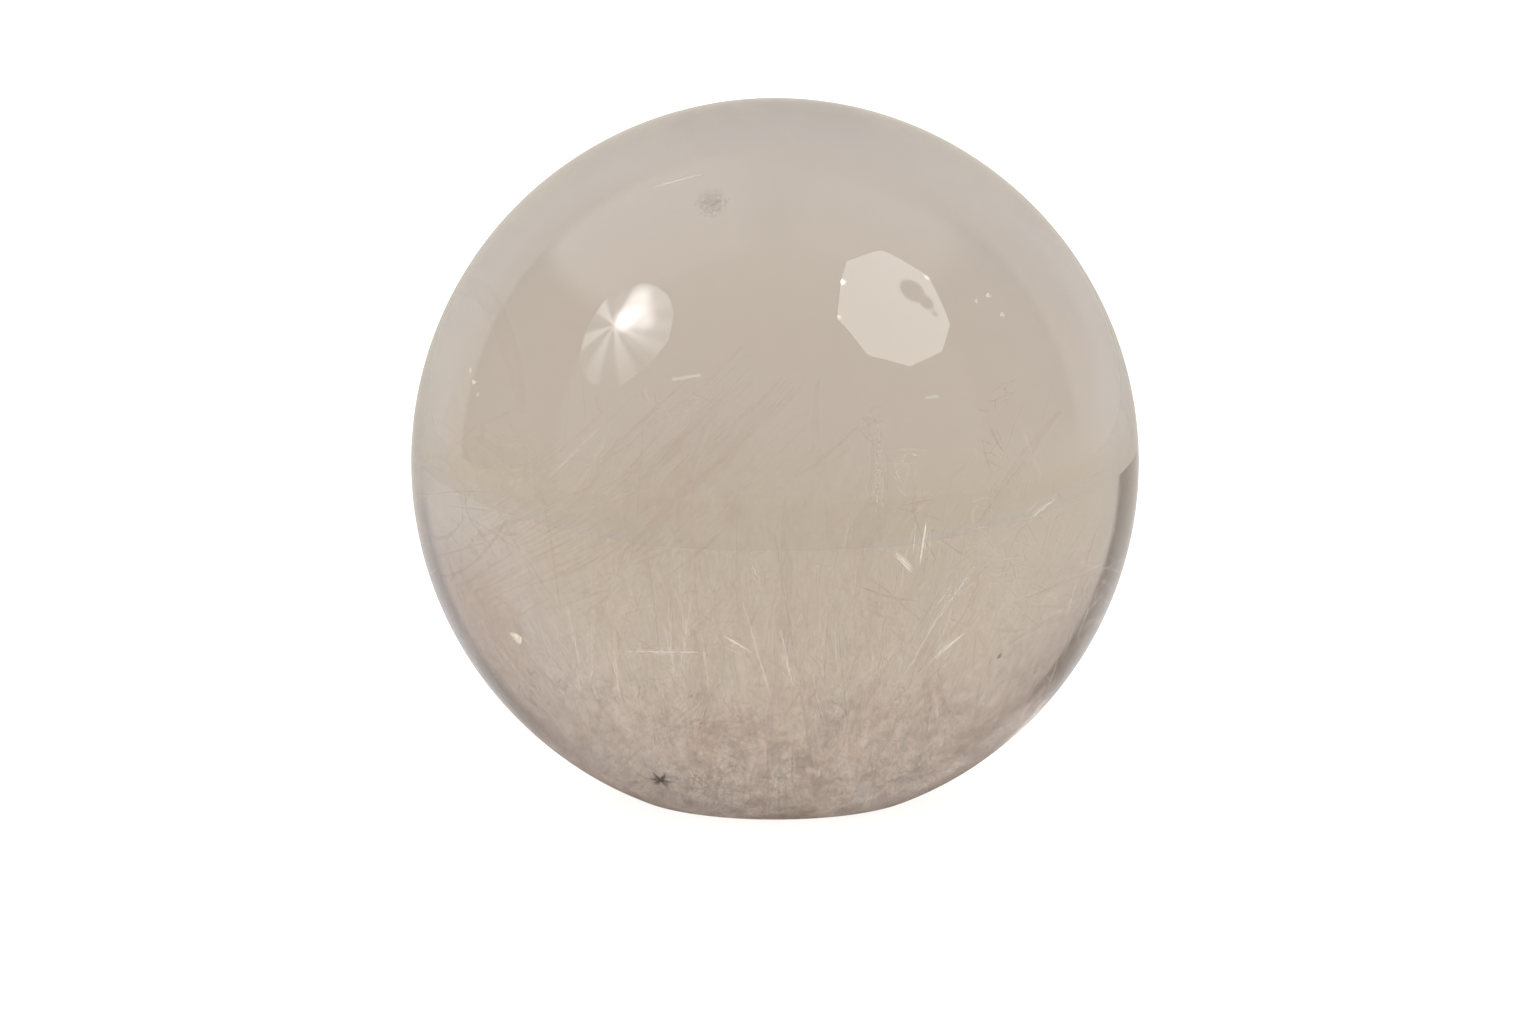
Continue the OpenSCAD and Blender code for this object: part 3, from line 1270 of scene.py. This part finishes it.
Band = tuple[Vector, float | None, float | None, float]


@dataclass(frozen=True)
class Zone:
    """A part of the tent with its own tint, where all its bands overlap.

    Each band is a direction, the least and the greatest share of it, and how soft its edges are.
    """

    tint: Colour
    bands: tuple[Band, ...]


def zone(tint: Colour, *bands: Band) -> Zone:
    """Makes a part of the tent from its tint and its bands."""
    return Zone(tint, bands)


@dataclass
class Studio:
    """The table, the light tent round it, the lamps and the camera."""

    ball: BallFrame
    elevation: float = 10.0
    distance: float = 0.9
    lens: float = 153.4
    aside: float = -0.96 * MILLIMETRE
    below: float = -6.4 * MILLIMETRE
    tent: Colour = (0.81, 0.76, 0.68)
    fill: float = 1.9
    fill_tint: Colour = (1.0, 0.98, 0.95)
    farthest: float = 30.0
    bounces: int = 24
    clear_layers: int = 96
    table_size: Span = (1.5, 4.0)
    sheet_lift: float = 0.80
    # Painted shadow and painted glow on the table: dark brown within about 2.5 cm of the ball's middle, a
    # slightly lighter neutral grey ring out to about 12 cm standing in for light gathered by the ball, beige
    # beyond.
    painted_shadow_and_glow_rings: tuple[tuple[float, Colour], ...] = (
        (0.0, (0.27, 0.22, 0.18)),
        (0.025, (0.36, 0.33, 0.31)),
        (0.05, (0.41, 0.41, 0.41)),
        (0.08, (0.42, 0.42, 0.43)),
        (0.12, (0.42, 0.41, 0.41)),
        (0.45, (0.41, 0.39, 0.36)),
        (1.0, (0.41, 0.40, 0.37)),
    )
    lamps: list[Lamp] = field(default_factory=list)

    @property
    def axes(self) -> tuple[Vector, Vector, Vector]:
        """Gives the camera's right, its up and the way from the ball to it."""
        lean = math.radians(self.elevation)
        return (
            Vector((1, 0, 0)),
            Vector((0, math.sin(lean), math.cos(lean))),
            Vector((0, -math.cos(lean), math.sin(lean))),
        )

    def zones(self) -> tuple[Zone, ...]:
        """Gives the parts of the tent that are lighter or darker than the rest."""
        right, up, near = self.axes
        far = -near
        left_low = (-0.94 * right + 0.34 * up).normalized()
        left_side = (0.34 * right + 0.94 * up).normalized()
        high = Vector((0, 0, 1))

        return (
            zone((0.84, 0.81, 0.78), (far, None, 0.80, 0.08), (right, 0.35, None, 0.2)),
            zone((0.80, 0.76, 0.72), (high, 0.45, None, 0.25)),
            zone((0.50, 0.475, 0.45), (far, None, 0.36, 0.30), (high, None, 0.75, 0.2)),
            zone((0.50, 0.49, 0.48), (near, 0.55, None, 0.3)),
            zone(
                (0.70, 0.61, 0.56),
                (far, -0.05, 0.75, 0.12), (right, 0.58, None, 0.12), (up, 0.24, None, 0.14),
            ),
            zone(
                (0.66, 0.58, 0.53),
                (far, -0.05, 0.60, 0.12), (right, None, -0.45, 0.12), (up, 0.36, None, 0.14),
            ),
            zone(
                (1.12, 1.03, 1.0),
                (far, -0.35, 0.40, 0.06), (up, 0.62, None, 0.06), (right, None, -0.1, 0.1),
            ),
            zone(
                (1.02, 0.93, 0.90),
                (far, -0.35, 0.24, 0.06), (up, 0.75, None, 0.06), (right, 0.1, None, 0.1),
            ),
            zone(
                (0.17, 0.125, 0.075),
                (far, -0.30, 0.44, 0.03), (left_side, -0.40, 0.36, 0.06), (left_low, 0.2, None, 0.1),
            ),
            zone(
                (0.26, 0.22, 0.23),
                (far, -0.35, 0.36, 0.06), (right, 0.50, None, 0.06), (up, 0.10, 0.74, 0.08),
            ),
        )

    def build_camera(self) -> None:
        """Sets the camera in front of the ball, a little above it."""
        right, up, near = self.axes
        data = bpy.data.cameras.new("camera")
        data.lens = self.lens
        data.clip_end = self.farthest
        camera = placed("camera", data)
        camera.location = self.ball.middle + near * self.distance
        aim = self.ball.middle + right * self.aside + up * self.below
        look = aim - camera.location
        camera.rotation_euler = look.to_track_quat("-Z", "Y").to_euler()
        bpy.context.scene.camera = camera

    def build_tent(self) -> None:
        """Makes the pale room light, even white where it is seen directly."""
        world = bpy.data.worlds.new("light_tent")
        bpy.context.scene.world = world
        tree = blank_tree(world)
        way = wire(tree, "TexCoord").outputs["Generated"]
        light = (*self.tent, 1)
        for zone in self.zones():
            share = None
            for axis, low, high, soft in zone.bands:
                dot = wire(tree, "VectorMath", {0: way, 1: axis}, operation="DOT_PRODUCT").outputs["Value"]
                for edge, ends in ((low, (0.0, 1.0)), (high, (1.0, 0.0))):
                    if edge is not None:
                        step = ranged(tree, dot, ends, (edge - soft, edge + soft), soft=True)
                        share = step if share is None else product(tree, share, step)
            light = blended(tree, share, light, (*zone.tint, 1))
        path = wire(tree, "LightPath").outputs
        bounced = wire(tree, "Math", {0: path["Diffuse Depth"], 1: 0.5}, operation="GREATER_THAN").outputs[0]
        light = blended(tree, bounced, light, (*(part * self.fill for part in self.fill_tint), 1))
        light = blended(tree, path["Is Camera Ray"], light, (1, 1, 1, 1))
        glow = wire(tree, "Background", {"Color": light}).outputs[0]
        wire(tree, "OutputWorld", {"Surface": glow})

    def build_table(self) -> None:
        """Lays a pale sheet whose colour holds a painted shadow under the ball, a painted glow round it and
        painted shade to its sides and front; seen directly it is lifted to white, with only a soft shadow
        where the ball rests.
        """
        deselect()
        bpy.ops.mesh.primitive_plane_add(size=1.0, location=(0, 1.0, 0))
        table = bpy.context.object
        table.name = "pale_table"
        table.scale = (*self.table_size, 1.0)
        apply_place(table)
        material = bpy.data.materials.new("pale_table")
        tree = blank_tree(material)
        place = wire(tree, "TexCoord").outputs["Object"]
        away = wire(tree, "VectorMath", {0: place}, operation="LENGTH").outputs["Value"]
        split = wire(tree, "SeparateXYZ", {0: place}).outputs
        # Painted shade: the sheet's colour falls to 0.62 at the sides and in front of the ball, and stays
        # full behind it.
        ahead = wire(tree, "Math", {0: split["Y"], 1: away}, operation="DIVIDE").outputs[0]
        dim = ranged(tree, ahead, (0.62, 1.0), (0.05, 0.75), soft=True)
        # This ring colour is painted light: a painted shadow under the ball and a painted glow round it.
        tint = ramped(tree, away, self.painted_shadow_and_glow_rings, "LINEAR")
        shade = wire(tree, "VectorMath", {0: tint, "Scale": dim}, operation="SCALE").outputs[0]
        warm = self.sheet_tint(tree, split)
        sheet = wire(tree, "VectorMath", {0: shade, 1: warm}, operation="MULTIPLY").outputs[0]
        matt = wire(tree, "BsdfDiffuse", {"Color": sheet}).outputs[0]
        seen = ranged(tree, wire(tree, "LightPath").outputs["Is Camera Ray"], (0.0, self.sheet_lift))
        lift = wire(tree, "Emission", {"Strength": seen}).outputs[0]
        both = wire(tree, "AddShader", {0: matt, 1: lift}).outputs[0]
        wire(tree, "OutputMaterial", {"Surface": both})
        table.data.materials.append(material)

    @staticmethod
    def sheet_tint(tree: bpy.types.NodeTree, place: bpy.types.NodeOutputs) -> Socket:
        """Gives the tint of the table: warm on the sheet behind the ball, cooler round it.

        Args:
            tree: The table's material tree.
            place: The parts of a place on the table.

        Returns:
            The tint at that place.
        """
        across, along = (product(tree, place[axis], place[axis]) for axis in ("X", "Y"))
        behind = ranged(tree, scaled(tree, across, -0.81, along), (0.0, 1.0), (0.0052, 0.0070), soft=True)
        between = ranged(tree, across, (0.0, 1.0), (0.125, 0.095), soft=True)
        share = product(tree, behind, between)
        return blended(tree, share, (1.0, 1.01, 1.03, 1), (1.0, 0.995, 0.975, 1))

    def build_lamp(self, lamp: Lamp) -> None:
        """Hangs one lamp at its place, facing the ball.

        Args:
            lamp: The lamp's size, place and pattern of light.
        """
        right, up, near = self.axes
        way = (right * lamp.right + up * lamp.up + near * lamp.near).normalized()
        across = up.cross(way).normalized()
        rise = way.cross(across)
        deselect()
        bpy.ops.mesh.primitive_circle_add(vertices=len(lamp.outline), radius=1.0, fill_type="NGON")
        head = bpy.context.object
        head.name = lamp.name
        for vertex, (u, v) in zip(head.data.vertices, lamp.outline):
            vertex.co = (u, v, 0)
        axes = Matrix((across, rise, way)).transposed().to_4x4()
        head.matrix_world = Matrix.Translation(self.ball.middle + way * lamp.distance) @ axes
        material = bpy.data.materials.new(lamp.name)
        tree = blank_tree(material)
        place = wire(tree, "TexCoord").outputs["Object"]
        level = wire(tree, "Value").outputs[0]
        level.default_value = lamp.strength
        if lamp.rays:
            level = self.ray_pattern(tree, lamp, place, level)
        for u, v, reach, soft, glow in lamp.spots:
            away = wire(tree, "VectorMath", {0: place, 1: (u, v, 0)}, operation="DISTANCE").outputs["Value"]
            inside = ranged(tree, away, (0.0, 1.0), (reach + soft, reach - soft), soft=True)
            level = wire(tree, "Mix", {"Factor": inside, 2: level, 3: glow}).outputs[0]
        light = wire(tree, "Emission", {"Color": (*lamp.colour, 1), "Strength": level}).outputs[0]
        wire(tree, "OutputMaterial", {"Surface": light})
        head.data.materials.append(material)
        head.visible_camera = False

    @staticmethod
    def ray_pattern(tree: bpy.types.NodeTree, lamp: Lamp, place: Socket, level: Socket) -> Socket:
        """Adds bright rays round an umbrella's hub.

        Args:
            tree: The lamp's material tree.
            lamp: The lamp, with its hub, its rays and how they fade.
            place: The place on the lamp.
            level: The strength without rays.

        Returns:
            The strength with rays.
        """
        shift = wire(tree, "VectorMath", {0: place, 1: (*lamp.hub, 0)}, operation="SUBTRACT").outputs[0]
        split = wire(tree, "SeparateXYZ", {0: shift}).outputs
        turn = wire(tree, "Math", {0: split["Y"], 1: split["X"]}, operation="ARCTAN2").outputs[0]
        share = ranged(tree, turn, (0.0, 1.0), (-math.pi, math.pi))
        stops = [((angle + 180) / 360, (glow, glow, glow)) for angle, glow in lamp.rays]
        rays = ramped(tree, share, stops, "EASE")
        out = wire(tree, "VectorMath", {0: shift}, operation="LENGTH").outputs["Value"]
        fade = ranged(tree, out, lamp.fade, (0.0, lamp.fade_end), soft=True)
        return product(tree, product(tree, level, rays), fade)

    def build(self) -> None:
        """Sets up the whole studio."""
        self.build_camera()
        self.build_tent()
        self.build_table()
        for lamp in self.lamps:
            self.build_lamp(lamp)
        scene = bpy.context.scene
        scene.view_settings.view_transform = "Standard"
        scene.cycles.max_bounces = scene.cycles.transmission_bounces = self.bounces
        scene.cycles.transparent_max_bounces = self.clear_layers
        scene.cycles.blur_glossy = 0.0
        LOG.info("studio: %d lamps", len(self.lamps))


OCTAGON_LAMP = Lamp(
    "octagon_softbox", 0.552, 0.704, 0.447,
    ((0.112, 0.298), (-0.098, 0.298), (-0.199, 0.212), (-0.348, 0.036), (-0.298, -0.214), (-0.086, -0.323),
     (0.128, -0.266), (0.235, -0.135), (0.251, 0.115)),
    (1.0, 0.98, 0.93), 3.7,
    spots=(
        (0.115, 0.052, 0.062, 0.012, 0.5), (0.155, -0.015, 0.038, 0.012, 0.5),
        (0.172, -0.075, 0.018, 0.012, 1.4),
        (-0.199, 0.205, 0.018, 0.008, 15.0), (0.243, 0.112, 0.013, 0.008, 10.0),
        (-0.335, 0.036, 0.012, 0.008, 8.0),
    ),
)
UMBRELLA_LAMP = Lamp(
    "umbrella", -0.680, 0.598, 0.424,
    ((0.145, 0.215), (0.05, 0.240), (-0.033, 0.232), (-0.179, 0.109), (-0.200, -0.040), (-0.170, -0.200),
     (-0.060, -0.292), (0.120, -0.292), (0.245, -0.15), (0.290, 0.0), (0.235, 0.143)),
    (1.0, 0.985, 0.97), 5.2,
    spots=(
        (0.035, 0.085, 0.050, 0.065, 15.0), (-0.005, 0.035, 0.040, 0.045, 17.0),
        (0.010, 0.160, 0.040, 0.045, 11.0), (0.110, 0.060, 0.030, 0.050, 10.0),
    ),
    hub=(-0.047, 0.0),
    rays=(
        (-180, 0.15), (-164, 0.17), (-151, 0.55), (-140, 0.58), (-127, 0.18), (-112, 0.20), (-98, 0.50),
        (-88, 0.52), (-76, 0.20), (-64, 0.22), (-54, 0.58), (-43, 0.62), (-33, 0.26), (-22, 0.45), (-9, 1.0),
        (2, 0.70), (14, 1.05), (27, 0.75), (42, 1.1), (66, 0.95), (88, 1.0), (100, 0.34), (132, 0.22),
        (146, 0.75), (156, 0.66), (168, 0.22), (180, 0.20),
    ),
    fade=(1.35, 0.50),
)
SMALL_GLINT = Lamp(
    "small_glint", 0.737, 0.304, 0.602,
    ((-0.038, 0.006), (-0.036, -0.008), (0.039, -0.004), (0.037, 0.010)),
    (0.76, 1.0, 0.78), 2.2,
)
SIDE_STRIP = Lamp(
    "small_strip", -0.440, 0.431, 0.788,
    ((-0.070, -0.022), (-0.068, -0.037), (0.081, -0.003), (0.078, 0.013)),
    (0.82, 1.0, 0.84), 3.0,
)

LEFT_LINES = (
    NeedleLine((-0.26, 0.06, -0.34), (-0.12, 0.02, -0.34), 0.5),
    NeedleLine((-0.05, 0.17, -0.45), (-0.09, 0.04, -0.40), 0.85),
    NeedleLine((-0.36, 0.10, -0.10), (-0.30, -0.02, 0.06), 0.06),
    NeedleLine((-0.44, -0.10, -0.02), (-0.34, -0.16, 0.10), 0.06),
)
CENTRE_LINES = (
    NeedleLine((-0.03, 0.00, -0.21), (-0.05, -0.12, -0.16), 0.7),
    NeedleLine((-0.04, 0.01, -0.34), (-0.09, 0.01, -0.31), 0.8),
    NeedleLine((0.03, 0.04, -0.40), (0.01, 0.00, -0.30), 0.75),
    NeedleLine((0.08, 0.11, -0.46), (0.06, -0.07, -0.36), 0.9),
    NeedleLine((0.10, -0.10, -0.06), (0.16, -0.16, 0.08), 0.08),
)
RIGHT_LINES = (
    NeedleLine((0.28, -0.17, -0.17), (0.29, -0.15, -0.09), 0.7),
    NeedleLine((0.27, 0.05, -0.30), (0.36, -0.02, -0.19), 0.5),
    NeedleLine((0.26, 0.08, -0.36), (0.32, 0.09, -0.31), 0.75),
    NeedleLine((0.24, 0.02, -0.20), (0.21, 0.02, -0.17), 1.0),
    NeedleLine((0.43, 0.13, -0.12), (0.47, 0.16, -0.09), 0.3),
    NeedleLine((0.50, 0.00, -0.04), (0.46, -0.06, 0.10), 0.06),
)
UPPER_LINES = (NeedleLine((-0.24, 0.06, 0.53), (-0.13, 0.06, 0.56), 0.45),)


def build_inclusions(ball: BallFrame, stock: NeedleStock, finishes: Finishes) -> None:
    """Grows every group of crystals in the ball.

    Args:
        ball: The sphere that holds them.
        stock: The models that the crystals are copied from.
        finishes: The ball's materials.
    """
    kit = (ball, stock, finishes)
    groups = (("left", LEFT_LINES), ("centre", CENTRE_LINES), ("right", RIGHT_LINES))
    for index, (side, lines) in enumerate(groups):
        LoneNeedles(*kit, f"{side}_needles", f"needles_{side}", "pale_needle", lines, seed=21 + index).build()
    LoneNeedles(
        *kit, "upper_needle", "needle_upper", "bright_needle", UPPER_LINES,
        width=0.16 * MILLIMETRE, splinters=0, seed=24,
    ).build()
    quarters = (("front", 225.0), ("right", -45.0), ("back", 45.0), ("left", 135.0))
    for index, (side, angle) in enumerate(quarters):
        UprightSpray(*kit, f"{side}_spray_fibres", f"spray_{side}", angle, seed=31 + index).build()
    layers = (
        ("first", 20.0, 0.30, 260, 520),
        ("second", 80.0, 0.15, 300, 520),
        ("third", 140.0, 0.05, 300, 440),
        ("fourth", -10.0, 0.0, 240, 260),
    )
    for index, (order, angle, darkness, fibres, tufts) in enumerate(layers):
        FibreMat(
            *kit, f"{order}_felt_layer", f"mat_{order}_layer", -0.83 + 0.11 * index, angle=angle,
            fibres=fibres, tufts=tufts, darkness=darkness, seed=41 + index,
        ).build()
    FibreBundle(
        *kit, "dark_brown_streaks", "dark_streaks", "dark_fibre",
        ((-0.28, 0.03, -0.18), (0.00, 0.03, 0.11)), 130, 0.06, (0.15, 0.6), (0.08, 0.75), seed=51,
    ).build()
    FibreBundle(
        *kit, "left_dark_fibres", "dark_fibres_left", "dark_fibre",
        ((-0.54, 0.00, -0.24), (-0.30, -0.06, -0.10)), 260, 0.10, (0.15, 0.5), (0.06, 0.45), seed=52,
    ).build()
    FibreBundle(
        *kit, "right_pale_fibres", "pale_fibres_right", "pale_needle",
        ((0.60, 0.05, -0.50), (0.70, -0.03, -0.22)), 26, 0.045, (0.12, 0.3), (0.06, 0.14), seed=53,
    ).build()
    BroadBlade(*kit).build()
    FluidPocket(*kit).build()
    # The healed crack's film carries a painted glint.
    Films(*kit, "healed_crack", "healed_fracture", ((-0.53, -0.15, -0.34),), ((62, 28, 0),)).build()
    DarkRosette(*kit).build()
    DarkGrain(*kit).build()
    # The flecks are tiny films with the same painted glint as the healed crack.
    flecks = (
        ("left", ((-0.55, 0.10, 0.13), (-0.57, 0.08, 0.16), (-0.53, 0.12, 0.10))),
        ("right", ((0.40, 0.04, 0.31), (0.43, 0.02, 0.28), (0.37, 0.06, 0.29))),
    )
    tilts = ((60, 0, 0), (80, 15, 40), (100, 30, 80))
    for index, (side, middles) in enumerate(flecks):
        Films(
            *kit, f"{side}_bright_flecks", f"flecks_{side}", middles, tilts, 0.6 * MILLIMETRE, phase=8 + index
        ).build()


def main() -> None:
    """Builds the studio, the stone and what has grown in it, and logs each piece."""
    logging.basicConfig(level=logging.INFO, format="%(message)s")
    ball = BallFrame.from_design()
    Studio(ball, lamps=[OCTAGON_LAMP, UMBRELLA_LAMP, SIDE_STRIP, SMALL_GLINT]).build()
    finishes = Finishes()
    QuartzBall(ball, finishes).build()
    stock = NeedleStock()
    build_inclusions(ball, stock, finishes)
    stock.clear()


if __name__ == "__main__":
    main()
